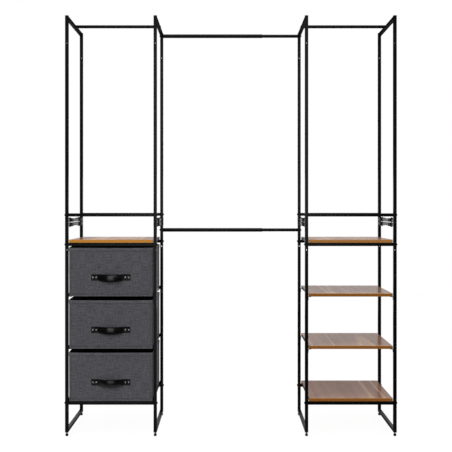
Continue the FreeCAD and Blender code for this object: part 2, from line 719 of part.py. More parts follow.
def check_and_write():
    """Stop at any failed object or bad shape, then write one file for each node."""
    doc.recompute()
    for item in doc.Objects:
        if "Invalid" in item.State or "Error" in item.State:
            raise RuntimeError(f"{item.Name} failed: {item.State}")
    os.makedirs("parts", exist_ok=True)
    for item in nodes:
        if item.Shape.isNull() or not item.Shape.isValid():
            raise RuntimeError(f"{item.Label} has a bad shape")
    for item in nodes:
        item.Shape.exportStep(f"parts/{item.Label}.step")
    print(len(nodes), "nodes written")


fill_sheet()
parts = make_parts()
for tower_name in ("drawer_tower", "shelf_tower"):
    side_frames(parts, tower_name)
    tower_rails(parts, tower_name)
    tower_bolts(parts, tower_name)
    tower_clamps(parts, tower_name)
    post_ends(parts, tower_name)
runners(parts)
boards(parts)
drawers(parts)
centre_rods(parts)
check_and_write()
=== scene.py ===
import math

import bmesh
import bpy
from bpy.props import FloatProperty, FloatVectorProperty, PointerProperty
from mathutils import Matrix, Vector, noise


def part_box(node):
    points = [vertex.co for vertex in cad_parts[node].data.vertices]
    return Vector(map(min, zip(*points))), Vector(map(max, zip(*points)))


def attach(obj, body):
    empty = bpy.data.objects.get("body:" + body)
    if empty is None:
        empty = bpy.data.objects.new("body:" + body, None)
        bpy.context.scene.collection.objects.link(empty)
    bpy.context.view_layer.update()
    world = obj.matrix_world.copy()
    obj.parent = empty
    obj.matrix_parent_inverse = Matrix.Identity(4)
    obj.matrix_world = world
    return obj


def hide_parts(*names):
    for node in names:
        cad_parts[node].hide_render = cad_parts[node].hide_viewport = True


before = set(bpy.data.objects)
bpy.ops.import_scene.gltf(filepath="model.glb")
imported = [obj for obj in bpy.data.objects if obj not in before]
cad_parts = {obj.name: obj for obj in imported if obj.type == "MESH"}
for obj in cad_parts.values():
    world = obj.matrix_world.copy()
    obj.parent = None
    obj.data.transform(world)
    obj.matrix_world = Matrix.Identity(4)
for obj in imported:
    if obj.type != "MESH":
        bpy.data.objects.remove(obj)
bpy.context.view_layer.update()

bl_info = {
    "name": "Open frame wardrobe",
    "version": (1, 0, 0),
    "blender": (4, 5, 0),
    "location": "View3D > Sidebar > Wardrobe",
    "description": "Dresses the wardrobe's frame with drawers, handles, fittings and finishes",
    "category": "Object",
}

MM = 0.001
PHOTO_PIXELS = 452
DRAWERS = ("top", "middle", "bottom")
TOWERS = ("drawer_tower", "shelf_tower")
SIDES = ("left", "right")
BAY_SIDES = (("drawer_tower", "right"), ("shelf_tower", "left"))
SMOOTH_ANGLE = math.radians(35)


def linear(code):
    """Turn an sRGB hex colour into linear red, green and blue."""
    channels = [int(code[start:start + 2], 16) / 255 for start in (1, 3, 5)]
    return [c / 12.92 if c <= 0.04045 else ((c + 0.055) / 1.055) ** 2.4 for c in channels]


def length(name, millimetres, description):
    """A length that a user may change, in Blender's own metres."""
    return FloatProperty(
        name=name, description=description, default=millimetres * MM, unit="LENGTH", precision=5)


def colour(name, code, description):
    """A colour that a user may change, given as an sRGB hex code."""
    return FloatVectorProperty(
        name=name, description=description, default=linear(code), subtype="COLOR", size=3, min=0, max=1)


class WardrobeSizes(bpy.types.PropertyGroup):
    """Sizes of the soft pieces and fittings, and of the view."""

    wall: length("Drawer wall", 3.4, "Padded fabric wall of a drawer")
    corner: length("Drawer corner", 6, "Rounding of a drawer's upright corners")
    hem: length("Hem", 17, "Folded hem along the top of a drawer")
    hem_step: length("Hem step", 0.7, "How far the hem stands out from the panel below it")
    seam_inset: length("Seam inset", 8, "Edge of the front panel to its sewn seam")
    seam_depth: length("Seam depth", 0.9, "How far the sewing thread pulls a seam in")
    puff: length("Front puff", 1.4, "How far the front panel swells in its middle")
    side_sag: length("Side sag", 2.5, "How far the side panels fall in at their middle")
    rim_dip: length("Rim dip", 1.2, "How far the front's top edge dips between its corners")
    rim_rise: length("Rim rise", 5, "How far the sides' top edge stands above the front's")
    crumple: length("Crumple", 0.5, "Depth of the soft unevenness of the fabric")
    stitch: length("Stitch", 4.2, "Length of one stitch")
    stitch_pitch: length("Stitch pitch", 6, "From one stitch to the next")
    thread: length("Thread", 0.7, "Thickness of the sewing thread")
    strap: length("Strap", 2.5, "Thickness of the handle strap")
    strap_belly: length("Strap belly", 8, "How far the strap's lower edge hangs below its tabs")
    strap_curl: length("Strap curl", 3, "How far the strap's lower edge curls back")
    strap_crown: length("Strap crown", 2, "How far the bow's edges stand behind its middle")
    tab: length("Tab", 32, "Flat end of the strap")
    rivet_spacing: length("Rivet spacing", 16.5, "Between the two rivets of a tab")
    rivet_head: length("Rivet head", 1.2, "Height of a rivet's head")
    foot_pad: length("Foot pad", 9, "Straight part of a foot pad")
    foot_cone: length("Foot cone", 3, "Tapered part of a foot pad")
    foot_cone_radius: length("Foot cone radius", 4.5, "Top of the tapered part")
    foot_stem: length("Foot stem", 3, "Radius of a foot's threaded stem")
    screw_pitch: length("Screw pitch", 1.25, "Pitch of a foot's screw thread")
    screw_depth: length("Screw depth", 0.5, "Depth of a foot's screw thread")
    tube: length("Tube", 16, "Side of the square steel tube")
    weld: length("Weld", 2.2, "Radius of a weld bead")
    bolt: length("Bolt", 2.5, "Radius of a bolt's shank")
    bolt_head: length("Bolt head", 6, "Radius of a bolt's domed head")
    bolt_dome: length("Bolt dome", 4.5, "Height of a bolt's domed head")
    socket: length("Socket", 1.7, "Middle to flat of a bolt's hexagon socket")
    nut: length("Nut", 4.6, "Middle to corner of a nut")
    nut_height: length("Nut height", 4, "Height of a nut")
    clamp: length("Clamp", 40, "Length of a clamp saddle")
    camera_back: length("Camera distance", 3810, "Camera to the front of the posts")
    camera_height: length("Camera height", 1115, "Camera above the floor")
    camera_side: length("Camera side", -24, "Camera to the right of the wardrobe's middle")
    focal: FloatProperty(
        name="Lens", description="Focal length on a 36 mm sensor", default=61.9, subtype="NONE")


class WardrobeColours(bpy.types.PropertyGroup):
    """Colours of the finishes."""

    steel: colour("Powder coat", "#070708", "Satin black coat on the tubes")
    bolt: colour("Bolts", "#1c1c1f", "Black zinc on bolts and nuts")
    plastic: colour("Plastic", "#0c0c0d", "Feet, caps, collars and clamps")
    walnut_dark: colour("Dark walnut", "#8a614f", "Dark bands of the printed walnut")
    walnut: colour("Walnut", "#b58d76", "Ground of the printed walnut")
    walnut_pale: colour("Pale walnut", "#dcb491", "Sapwood streaks of the printed walnut")
    edge_band: colour("Edge band", "#8c5824", "Edge band of the lower shelves")
    # The arris colour is a painted highlight: a pale band in place of the light that the rounded front
    # edges catch.
    arris: colour("Arris", "#d3a878", "Scraped radius of the edge bands")
    # The two edge colours below are painted light: lighter copies of the edge band for the highest
    # boards, which take more light from above.
    upper_edge_band: colour("Upper shelf edge", "#a8733c", "Edge band of the highest shelf")
    top_edge_band: colour("Top board edge", "#c08233", "Edge band of the board over the drawers")
    # The board-end colour is painted shade: the ends are made dark brown in place of the shade between
    # the posts.
    board_end: colour("Board end", "#3a2819", "Sealed ends of the boards")
    fabric_dark: colour("Dark yarn", "#3c3c3f", "Dark yarn of the drawer fabric")
    fabric_light: colour("Light yarn", "#606065", "Light yarn of the drawer fabric")
    lining: colour("Lining", "#1d1d1f", "Inside of the drawers")
    fibreboard: colour("Fibreboard", "#6d543d", "Board in the drawer's floor")
    leather: colour("Leather", "#050506", "Strap handles")
    sewing: colour("Sewing thread", "#0d0d0e", "Stitches on drawers and straps")
    nickel: colour("Nickel", "#acaba7", "Rivets of the handles")


def sizes():
    """The scene's own sizes."""
    return bpy.context.scene.wardrobe_sizes


def colours():
    """The scene's own colours."""
    return bpy.context.scene.wardrobe_colours


def opaque(rgb):
    """A property's colour as a socket wants it."""
    return (*rgb, 1.0)


def add_node(tree, kind, inputs=None, **settings):
    """Add a node with its settings; an input given as a socket is linked, any other is set."""
    made = tree.nodes.new(kind)
    for name, value in settings.items():
        setattr(made, name, value)
    for key, value in (inputs or {}).items():
        if isinstance(value, bpy.types.NodeSocket):
            tree.links.new(value, made.inputs[key])
        else:
            made.inputs[key].default_value = value
    return made.outputs


def compute(tree, operation, *values):
    """The result of a math node on numbers or sockets."""
    return add_node(tree, "ShaderNodeMath", dict(enumerate(values)), operation=operation)[0]


# Sockets of a colour mix, which share their names with those for numbers.
MIX_FACTOR, MIX_A, MIX_B, MIX_RESULT = 0, 6, 7, 2


def mix_colours(tree, factor, first, second):
    """The result of a mix node on two colours."""
    inputs = {MIX_FACTOR: factor, MIX_A: first, MIX_B: second}
    return add_node(tree, "ShaderNodeMix", inputs, data_type="RGBA")[MIX_RESULT]


def new_material(name):
    """An empty node material: its tree, and where its points are on the piece, in metres."""
    material = bpy.data.materials.new(name)
    material.use_nodes = True
    tree = material.node_tree
    tree.nodes.clear()
    return material, tree, add_node(tree, "ShaderNodeTexCoord")["Object"]


def finish_material(tree, inputs):
    """End a material in one principled shader."""
    shader = add_node(tree, "ShaderNodeBsdfPrincipled", inputs)
    add_node(tree, "ShaderNodeOutputMaterial", {"Surface": shader["BSDF"]})


def satin_black_powder_coat():
    """Powder coat baked on steel: near black to the eye, with a satin sheen along its tubes."""
    material, tree, place = new_material("satin_black_powder_coat")
    cloud_size = 70 * MM
    cloud = add_node(tree, "ShaderNodeTexNoise", {"Vector": place, "Scale": 1 / cloud_size, "Detail": 3})
    rough = add_node(tree, "ShaderNodeMapRange", {"Value": cloud["Fac"], "To Min": 0.2, "To Max": 0.28})
    finish_material(tree, {
        "Base Color": opaque(colours().steel), "Roughness": rough["Result"], "Specular IOR Level": 0.15})
    return material


def black_zinc_steel():
    """Zinc-plated, black-passivated bolts: dark metal with small cloudy differences in gloss."""
    material, tree, place = new_material("black_zinc_steel")
    cloud_size = 3 * MM
    cloud = add_node(tree, "ShaderNodeTexNoise", {"Vector": place, "Scale": 1 / cloud_size, "Detail": 3})
    rough = add_node(tree, "ShaderNodeMapRange", {"Value": cloud["Fac"], "To Min": 0.3, "To Max": 0.5})
    finish_material(tree, {
        "Base Color": opaque(colours().bolt), "Roughness": rough["Result"], "Metallic": 0.8})
    return material


def moulded_black_plastic():
    """Injection-moulded polypropylene: black, half matt, with the fine grain of an eroded mould."""
    material, tree, place = new_material("moulded_black_plastic")
    grit_size = 0.5 * MM
    grit = add_node(tree, "ShaderNodeTexNoise", {"Vector": place, "Scale": 1 / grit_size, "Detail": 2})
    rough = add_node(tree, "ShaderNodeMapRange", {"Value": grit["Fac"], "To Min": 0.45, "To Max": 0.65})
    bump = add_node(tree, "ShaderNodeBump", {
        "Height": grit["Fac"], "Strength": 0.3, "Distance": 0.05 * MM})
    finish_material(tree, {
        "Base Color": opaque(colours().plastic), "Roughness": rough["Result"], "Normal": bump["Normal"],
        "Specular IOR Level": 0.3})
    return material


def walnut_melamine(name, edge):
    """Printed walnut under melamine: grain front to back, pale sapwood, a smooth half-gloss film."""
    material, tree, place = new_material(name)
    grain, figure, streak = 2.6 * MM, 55 * MM, 170 * MM
    run, straight_run, level_step = 900 * MM, 5400 * MM, 40 * MM
    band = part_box("shelf_tower_shelf_1")[0].y + 2 * MM
    tones = {}
    for key, across, along, detail in (
            ("fine", grain, run, 3), ("broad", figure, run, 3), ("sapwood", streak, straight_run, 1)):
        stretched = add_node(tree, "ShaderNodeMapping", {
            "Vector": place, "Scale": (1 / across, 1 / along, 1 / level_step)}, vector_type="POINT")
        tones[key] = add_node(tree, "ShaderNodeTexNoise", {
            "Vector": stretched["Vector"], "Scale": 1, "Detail": detail})["Fac"]
    third = compute(tree, "MULTIPLY", tones["fine"], 0.35)
    grained = compute(tree, "MULTIPLY_ADD", tones["broad"], 0.65, third)
    depth = add_node(tree, "ShaderNodeMapRange", {
        "Value": grained, "From Min": 0.3, "From Max": 0.7})["Result"]
    ground = mix_colours(tree, depth, opaque(colours().walnut_dark), opaque(colours().walnut))
    # Sapwood shows as thin pale lines, where a slow change of tone passes its middle.
    past_line = compute(tree, "SUBTRACT", tones["sapwood"], 0.5)
    off_line = compute(tree, "ABSOLUTE", past_line)
    pale = add_node(tree, "ShaderNodeMapRange", {
        "Value": off_line, "From Max": 0.03, "To Min": 0.6, "To Max": 0},
        interpolation_type="SMOOTHSTEP")["Result"]
    top = mix_colours(tree, pale, ground, opaque(colours().walnut_pale))
    lines = add_node(tree, "ShaderNodeMapping", {
        "Vector": place, "Scale": (1 / run, 1 / run, 1 / grain)}, vector_type="POINT")
    edge_tone = add_node(tree, "ShaderNodeTexNoise", {
        "Vector": lines["Vector"], "Scale": 1, "Detail": 3})["Fac"]
    dark_edge, light_edge = [opaque([value * share for value in edge]) for share in (0.55, 1.45)]
    banded = mix_colours(tree, edge_tone, dark_edge, light_edge)
    normal = add_node(tree, "ShaderNodeNewGeometry")["Normal"]
    facing = add_node(tree, "ShaderNodeSeparateXYZ", {"Vector": normal})
    sideways = compute(tree, "ABSOLUTE", facing["X"])
    # Painted shade: faces that look sideways take the dark board-end colour in place of the shade they
    # sit in.
    shaded_end_mask = compute(tree, "GREATER_THAN", sideways, 0.7)
    side = mix_colours(tree, shaded_end_mask, banded, opaque(colours().board_end))
    tilt = compute(tree, "ABSOLUTE", facing["Z"])
    flat = compute(tree, "GREATER_THAN", tilt, 0.9)
    faces = mix_colours(tree, flat, side, top)
    # Painted highlight: the upward-facing rounding along the front edge takes the pale arris colour, in
    # place of the light it catches from above.
    depth_at = add_node(tree, "ShaderNodeSeparateXYZ", {"Vector": place})["Y"]
    at_edge = compute(tree, "LESS_THAN", depth_at, band)
    upper = compute(tree, "GREATER_THAN", facing["Z"], 0.2)
    arris_highlight_mask = compute(tree, "MULTIPLY", at_edge, upper)
    base = mix_colours(tree, arris_highlight_mask, faces, opaque(colours().arris))
    rough = add_node(tree, "ShaderNodeMapRange", {"Value": tones["fine"], "To Min": 0.2, "To Max": 0.27})
    finish_material(tree, {"Base Color": base, "Roughness": rough["Result"], "Specular IOR Level": 0.1})
    return material


def heathered_polyester():
    """Linen-look woven polyester: two greys of yarn, thick slubs along both threads, no gloss."""
    material, tree, place = new_material("heathered_polyester")
    # The real yarn is about 0.5 mm; the slubs are drawn a few times as coarse,
    # so that they show from a step away.
    yarn, slub_width, slub_length, heather = 1.1 * MM, 3.2 * MM, 45 * MM, 6 * MM
    split = add_node(tree, "ShaderNodeSeparateXYZ", {"Vector": place})
    along = compute(tree, "ADD", split["X"], split["Y"])
    flat = add_node(tree, "ShaderNodeCombineXYZ", {"X": along, "Y": split["Z"]})["Vector"]
    slubs = []
    for scale in ((1 / slub_length, 1 / slub_width, 1), (1 / slub_width, 1 / slub_length, 1)):
        stretched = add_node(
            tree, "ShaderNodeMapping", {"Vector": flat, "Scale": scale}, vector_type="POINT")
        slubs.append(add_node(tree, "ShaderNodeTexNoise", {
            "Vector": stretched["Vector"], "Scale": 1, "Detail": 2})["Fac"])
    patches = add_node(tree, "ShaderNodeTexNoise", {
        "Vector": flat, "Scale": 1 / heather, "Detail": 3})["Fac"]
    both = compute(tree, "MULTIPLY_ADD", slubs[1], 0.7, slubs[0])
    mixed = compute(tree, "ADD", both, patches)
    share = add_node(tree, "ShaderNodeMapRange", {
        "Value": mixed, "From Min": 1.0, "From Max": 1.7})["Result"]
    base = mix_colours(tree, share, opaque(colours().fabric_dark), opaque(colours().fabric_light))
    threads = []
    for position in (along, split["Z"]):
        turns = compute(tree, "MULTIPLY", position, 2 * math.pi / yarn)
        threads.append(compute(tree, "SINE", turns))
    weave = compute(tree, "MULTIPLY", *threads)
    height = compute(tree, "MULTIPLY_ADD", weave, 0.3, both)
    bump = add_node(tree, "ShaderNodeBump", {"Height": height, "Strength": 0.5, "Distance": 0.3 * MM})
    finish_material(tree, {
        "Base Color": base, "Roughness": 0.92, "Normal": bump["Normal"],
        "Sheen Weight": 0.05, "Sheen Roughness": 0.5, "Specular IOR Level": 0.1})
    return material


def nonwoven_lining():
    """Spun-bonded lining: near black, matt, with a faint pressed mottle."""
    material, tree, place = new_material("nonwoven_lining")
    mottle_size = 2.5 * MM
    mottle = add_node(tree, "ShaderNodeTexVoronoi", {
        "Vector": place, "Scale": 1 / mottle_size})["Distance"]
    tone = add_node(tree, "ShaderNodeMapRange", {
        "Value": mottle, "To Min": 0.7, "To Max": 1.2})["Result"]
    base = add_node(
        tree, "ShaderNodeVectorMath", {0: colours().lining, "Scale": tone}, operation="SCALE")["Vector"]
    bump = add_node(tree, "ShaderNodeBump", {"Height": mottle, "Strength": 0.4, "Distance": 0.2 * MM})
    finish_material(tree, {
        "Base Color": base, "Roughness": 0.95, "Normal": bump["Normal"], "Specular IOR Level": 0.2})
    return material


def pressed_fibreboard():
    """Hardboard: brown pressed wood fibre, speckled, slightly polished by the press."""
    material, tree, place = new_material("pressed_fibreboard")
    fibre_size = 3 * MM
    fibre = add_node(tree, "ShaderNodeTexNoise", {
        "Vector": place, "Scale": 1 / fibre_size, "Detail": 6})["Fac"]
    tone = add_node(tree, "ShaderNodeMapRange", {
        "Value": fibre, "To Min": 0.55, "To Max": 1.35})["Result"]
    base = add_node(
        tree, "ShaderNodeVectorMath", {0: colours().fibreboard, "Scale": tone},
        operation="SCALE")["Vector"]
    bump = add_node(tree, "ShaderNodeBump", {"Height": fibre, "Strength": 0.2, "Distance": 0.1 * MM})
    finish_material(tree, {"Base Color": base, "Roughness": 0.6, "Normal": bump["Normal"]})
    return material


def pebbled_leathercloth():
    """Polyurethane-coated cloth: black, pebbled, softly glossy on its bow, dull where sewn flat."""
    material, tree, place = new_material("pebbled_leathercloth")
    pebble_size, crease_size = 1.1 * MM, 14 * MM
    pebble = add_node(tree, "ShaderNodeTexVoronoi", {
        "Vector": place, "Scale": 1 / pebble_size}, feature="SMOOTH_F1")["Distance"]
    crease = add_node(tree, "ShaderNodeTexNoise", {
        "Vector": place, "Scale": 1 / crease_size, "Detail": 4})["Fac"]
    glossy = add_node(tree, "ShaderNodeMapRange", {
        "Value": crease, "To Min": 0.18, "To Max": 0.26})["Result"]
    low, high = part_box("top_drawer_handle")
    split = add_node(tree, "ShaderNodeSeparateXYZ", {"Vector": place})
    aside = compute(tree, "ADD", split["X"], -(low.x + high.x) / 2)
    reach = compute(tree, "ABSOLUTE", aside)
    bow_end = (high.x - low.x) / 2 - sizes().tab
    dulled = add_node(tree, "ShaderNodeMapRange", {
        "Value": reach, "From Min": bow_end - 4 * MM, "From Max": bow_end, "To Max": 0.3})["Result"]
    shine = add_node(tree, "ShaderNodeMapRange", {
        "Value": dulled, "From Max": 0.3, "To Min": 0.7, "To Max": 0.25})["Result"]
    # The turned edge along the top is duller than the rest, on each of the three handles.
    step = low.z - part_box("middle_drawer_handle")[0].z
    lifted = compute(tree, "ADD", split["Z"], 2 * step - low.z)
    upward = compute(tree, "MODULO", lifted, step)
    height = high.z - low.z
    kept = add_node(tree, "ShaderNodeMapRange", {
        "Value": upward, "From Min": height - 7 * MM, "From Max": height - 4 * MM,
        "To Min": 1, "To Max": 0.1})["Result"]
    shine = compute(tree, "MULTIPLY", shine, kept)
    rough = compute(tree, "ADD", glossy, dulled)
    bump = add_node(tree, "ShaderNodeBump", {"Height": pebble, "Strength": 0.1, "Distance": 0.06 * MM})
    finish_material(tree, {
        "Base Color": opaque(colours().leather), "Roughness": rough, "Normal": bump["Normal"],
        "Specular IOR Level": shine})
    return material


def sewing_thread():
    """Bonded polyester thread: dark grey, two plies twisted round each other, a little shiny."""
    material, tree, place = new_material("sewing_thread")
    ply = 0.8 * MM
    twist = add_node(tree, "ShaderNodeTexWave", {
        "Vector": place, "Scale": 1 / (ply * 20), "Distortion": 1}, bands_direction="DIAGONAL")["Fac"]
    bump = add_node(tree, "ShaderNodeBump", {"Height": twist, "Strength": 0.4, "Distance": 0.1 * MM})
    finish_material(tree, {
        "Base Color": opaque(colours().sewing), "Roughness": 0.6, "Normal": bump["Normal"],
        "Sheen Weight": 0.2})
    return material


def nickel_plate():
    """Nickel on pressed steel rivets: bright warm grey metal with fine rubbing marks."""
    material, tree, place = new_material("nickel_plate")
    rub_size = 1.2 * MM
    rub = add_node(tree, "ShaderNodeTexNoise", {
        "Vector": place, "Scale": 1 / rub_size, "Detail": 4})["Fac"]
    rough = add_node(tree, "ShaderNodeMapRange", {"Value": rub, "To Min": 0.38, "To Max": 0.52})
    finish_material(tree, {
        "Base Color": opaque(colours().nickel), "Metallic": 1.0, "Roughness": rough["Result"]})
    return material


def material_of(make, *details):
    """A finish, made once and then shared by every piece that has it."""
    name = details[0] if details else make.__name__
    return bpy.data.materials.get(name) or make(*details)


def dress_node(node, material):
    """Give a CAD node's object its finish in every slot."""
    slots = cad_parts[node].data.materials
    slots.clear()
    slots.append(material)


def new_piece(name, bm, materials, body, stands_for=(), smooth=True):
    """Turn a bmesh into a piece that rides on a body and stands for CAD nodes."""
    mesh = bpy.data.meshes.new(name)
    bm.to_mesh(mesh)
    bm.free()
    for material in materials:
        mesh.materials.append(material)
    if smooth:
        mesh.shade_smooth()
        mesh.set_sharp_from_angle(angle=SMOOTH_ANGLE)
    piece = bpy.data.objects.new(name, mesh)
    bpy.context.scene.collection.objects.link(piece)
    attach(piece, body)
    if stands_for:
        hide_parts(*stands_for)
    return piece


def add_modifier(piece, kind, **settings):
    """Add a modifier with its settings."""
    modifier = piece.modifiers.new(kind.title(), kind)
    for name, value in settings.items():
        setattr(modifier, name, value)


def slice_across(bm, axis, positions):
    """Cut a mesh across an axis at each position."""
    normal = Vector([float(index == axis) for index in range(3)])
    for position in positions:
        geometry = bm.verts[:] + bm.edges[:] + bm.faces[:]
        bmesh.ops.bisect_plane(
            bm, geom=geometry, dist=0.01 * MM, plane_co=normal * position, plane_no=normal)


def between(start, end, step):
    """Evenly spread positions inside a stretch, about a step apart."""
    count = max(1, round((end - start) / step))
    return [start + (end - start) * number / count for number in range(1, count)]


def ease(value, start, end):
    """Smooth step from 0 at start to 1 at end."""
    share = min(1.0, max(0.0, (value - start) / (end - start)))
    return share * share * (3 - 2 * share)


def hollow(value):
    """1 in the middle of a panel, 0 at its edges, for a place from -1 to 1 across it."""
    return 1 - min(1.0, abs(value)) ** 4


def soft_point(point, low, high):
    """Where sewing, filling and weight bring a point of a drawer's straight-sided box."""
    size = sizes()
    middle, half = (low + high) / 2, (high - low) / 2
    u, v, w = [(point[i] - middle[i]) / half[i] for i in range(3)]
    moved = point.copy()
    upright = hollow(w)
    if point.y < low.y + size.corner * 0.5:
        moved.y -= size.puff * hollow(u) * upright
        edge = min(half.x - abs(point.x - middle.x), point.z - low.z)
        moved.y += size.seam_depth * max(0.0, 1 - abs(edge - size.seam_inset) / (2 * MM))
    elif point.y > high.y - size.corner * 0.5:
        moved.y -= size.puff * hollow(u) * upright
    if abs(u) > 1 - size.corner * 0.5 / half.x:
        moved.x -= math.copysign(size.side_sag * hollow(v) * upright, u)
    rim = ease(point.z, middle.z, high.z)
    moved.z += rim * (-size.rim_dip * hollow(u) if abs(v) > abs(u) else size.rim_rise * hollow(v))
    lift = ease(point.z, high.z - size.hem - 1.2 * MM, high.z - size.hem)
    outward = Vector((u * (abs(u) > 0.97), v * (abs(v) > 0.97), 0))
    moved += outward * size.hem_step * lift
    grain = noise.noise(point / (55 * MM))
    moved += outward * size.crumple * grain * upright
    return moved


def drawer_shell(low, high):
    """A drawer's fabric box, open at the top, cut fine enough for its seams and swelling."""
    size = sizes()
    bm = bmesh.new()
    placed = Matrix.Translation((low + high) / 2) @ Matrix.Diagonal((*(high - low), 1))
    bmesh.ops.create_cube(bm, size=1, matrix=placed)
    upright = [e for e in bm.edges if abs(e.verts[0].co.z - e.verts[1].co.z) > size.corner]
    bmesh.ops.bevel(
        bm, geom=upright, offset=size.corner, affect="EDGES", segments=4, profile=0.5, material=-1)
    top = [f for f in bm.faces if f.normal.z > 0.9]
    bmesh.ops.delete(bm, geom=top, context="FACES")
    cell = 14 * MM
    for axis in range(3):
        slice_across(bm, axis, between(low[axis] + size.corner, high[axis] - size.corner, cell))
    seam = (size.seam_inset - 2 * MM, size.seam_inset, size.seam_inset + 2 * MM)
    slice_across(bm, 0, [low.x + s for s in seam] + [high.x - s for s in seam])
    slice_across(bm, 2, [low.z + s for s in seam])
    slice_across(bm, 2, [high.z - size.hem - 1.2 * MM, high.z - size.hem])
    for vert in bm.verts:
        vert.co = soft_point(vert.co, low, high)
    return bm


def stitch_row(bm, start, end, low, high, outward):
    """Sew a straight row of stitches on a drawer, following its softened surface."""
    size = sizes()
    count = round((end - start).length / size.stitch_pitch)
    gap = (1 - size.stitch / size.stitch_pitch) / 2
    for number in range(count):
        spots = []
        for offset in (gap, 1 - gap):
            straight = start.lerp(end, (number + offset) / count)
            spots.append(soft_point(straight, low, high) + outward * size.thread * 0.2)
        sew(bm, *spots, size.thread)


def drawer_stitches(low, high):
    """All the sewing of a drawer: hem all round, and the seams of the front panel."""
    size = sizes()
    bm = bmesh.new()
    hem_z = high.z - size.hem + 3 * MM
    inset = size.corner * 1.5
    left, right, front, back = low.x + inset, high.x - inset, low.y + inset, high.y - inset
    for y, outward in ((low.y, Vector((0, -1, 0))), (high.y, Vector((0, 1, 0)))):
        stitch_row(bm, Vector((left, y, hem_z)), Vector((right, y, hem_z)), low, high, outward)
    for x, outward in ((low.x, Vector((-1, 0, 0))), (high.x, Vector((1, 0, 0)))):
        stitch_row(bm, Vector((x, front, hem_z)), Vector((x, back, hem_z)), low, high, outward)
    forward = Vector((0, -1, 0))
    beside = size.seam_inset + 3 * MM
    for x in (low.x + beside, high.x - beside):
        start, end = Vector((x, low.y, low.z + beside)), Vector((x, low.y, high.z - size.hem - 4 * MM))
        stitch_row(bm, start, end, low, high, forward)
    row_z = low.z + beside
    start, end = Vector((low.x + beside, low.y, row_z)), Vector((high.x - beside, low.y, row_z))
    stitch_row(bm, start, end, low, high, forward)
    round_stitches(bm)
    return bm


def strap_point(point, low, high):
    """Bend a flat strip into the strap: tabs on the drawer, bow in front, belly in the middle."""
    size = sizes()
    half, tab_low = (high.x - low.x) / 2, low.z + size.strap_belly
    share = min(1.0, abs(point.x - (low.x + high.x) / 2) / (half - size.tab))
    rise = (1 - share ** 2.6) ** 1.3
    back = high.y - size.puff
    reach = back - low.y - size.strap
    across = (high.z - point.z) / (high.z - tab_low)
    belly = size.strap_belly * (1 - share * share) * across * across
    curl = size.strap_curl * rise * across ** 3
    flatter_top = 0.4 if across < 0.5 else 1
    crown = size.strap_crown * rise * (2 * across - 1) ** 2 * flatter_top
    return Vector((point.x, back - reach * rise + curl + crown, point.z - belly))


def strap(low, high):
    """The back face of a handle's strap."""
    bm = bmesh.new()
    tab_low = low.z + sizes().strap_belly
    centre = Vector(((low.x + high.x) / 2, high.y, (tab_low + high.z) / 2))
    lying = Matrix.Translation(centre) @ Matrix.Rotation(math.radians(90), 4, "X")
    shaped = lying @ Matrix.Diagonal(((high.x - low.x) / 2, (high.z - tab_low) / 2, 1, 1))
    bmesh.ops.create_grid(bm, x_segments=72, y_segments=8, size=1, matrix=shaped)
    for vert in bm.verts:
        vert.co = strap_point(vert.co, low, high)
    return bm


def sew(bm, start, end, thickness):
    """One stitch between two points."""
    along = end - start
    turn = along.to_track_quat("X", "Z").to_matrix().to_4x4()
    shaped = Matrix.Diagonal((along.length, thickness, thickness, 1))
    bmesh.ops.create_cube(bm, size=1, matrix=Matrix.Translation((start + end) / 2) @ turn @ shaped)


def round_stitches(bm):
    """Take the sharp edges off the stitches."""
    bmesh.ops.bevel(
        bm, geom=bm.edges[:], offset=sizes().thread * 0.25, affect="EDGES", segments=1, profile=0.5,
        material=-1)


def strap_stitches(low, high):
    """A box of stitches on each tab, and a row along each edge of the bow."""
    size = sizes()
    bm = bmesh.new()
    inset = 3 * MM
    bottom, top = low.z + size.strap_belly + inset, high.z - inset
    rows = []
    near, far = inset, size.tab - inset
    for outer, inner in ((low.x + near, low.x + far), (high.x - near, high.x - far)):
        corners = [(outer, bottom), (outer, top), (inner, top), (inner, bottom)]
        rows += zip(corners, corners[1:] + corners[:1])
    for z in (bottom, top):
        rows.append(((low.x + size.tab, z), (high.x - size.tab, z)))
    gap = (1 - size.stitch / size.stitch_pitch) / 2
    for start, end in rows:
        start, end = [Vector((x, high.y, z)) for x, z in (start, end)]
        count = round((end - start).length / (size.stitch_pitch * 0.7))
        for number in range(count):
            spots = [start.lerp(end, (number + offset) / count) for offset in (gap, 1 - gap)]
            lifted = [strap_point(spot, low, high) - Vector((0, size.strap, 0)) for spot in spots]
            sew(bm, *lifted, size.thread)
    round_stitches(bm)
    return bm


def turned(bm, profile, axis_point, axis, start_side, steps):
    """Turn a profile of (radius, height) points about an axis into a closed round form."""
    verts = [
        bm.verts.new(axis_point + start_side * radius + axis * height) for radius, height in profile]
    edges = [bm.edges.new(pair) for pair in zip(verts, verts[1:])]
    bmesh.ops.spin(
        bm, geom=verts + edges, cent=axis_point, axis=axis, angle=2 * math.pi, steps=steps,
        use_merge=True)


def close_turned(bm):
    """Merge the poles of turned forms and point their faces outwards."""
    bmesh.ops.remove_doubles(bm, verts=bm.verts[:], dist=0.01 * MM)
    bmesh.ops.recalc_face_normals(bm, faces=bm.faces[:])


def rivet_profile(radius, height):
    """Outline of a domed rivet with a thin rolled rim, from its middle outwards."""
    rim = radius * 0.72
    angles = [math.pi / 2 * number / 5 for number in range(6)]
    dome = [(rim * math.sin(angle), height * (0.35 + 0.65 * math.cos(angle))) for angle in angles]
    rolled = [(rim * 1.08, 0.3), (radius * 0.95, 0.42), (radius, 0.2), (radius, 0)]
    return dome + [(r, height * share) for r, share in rolled]


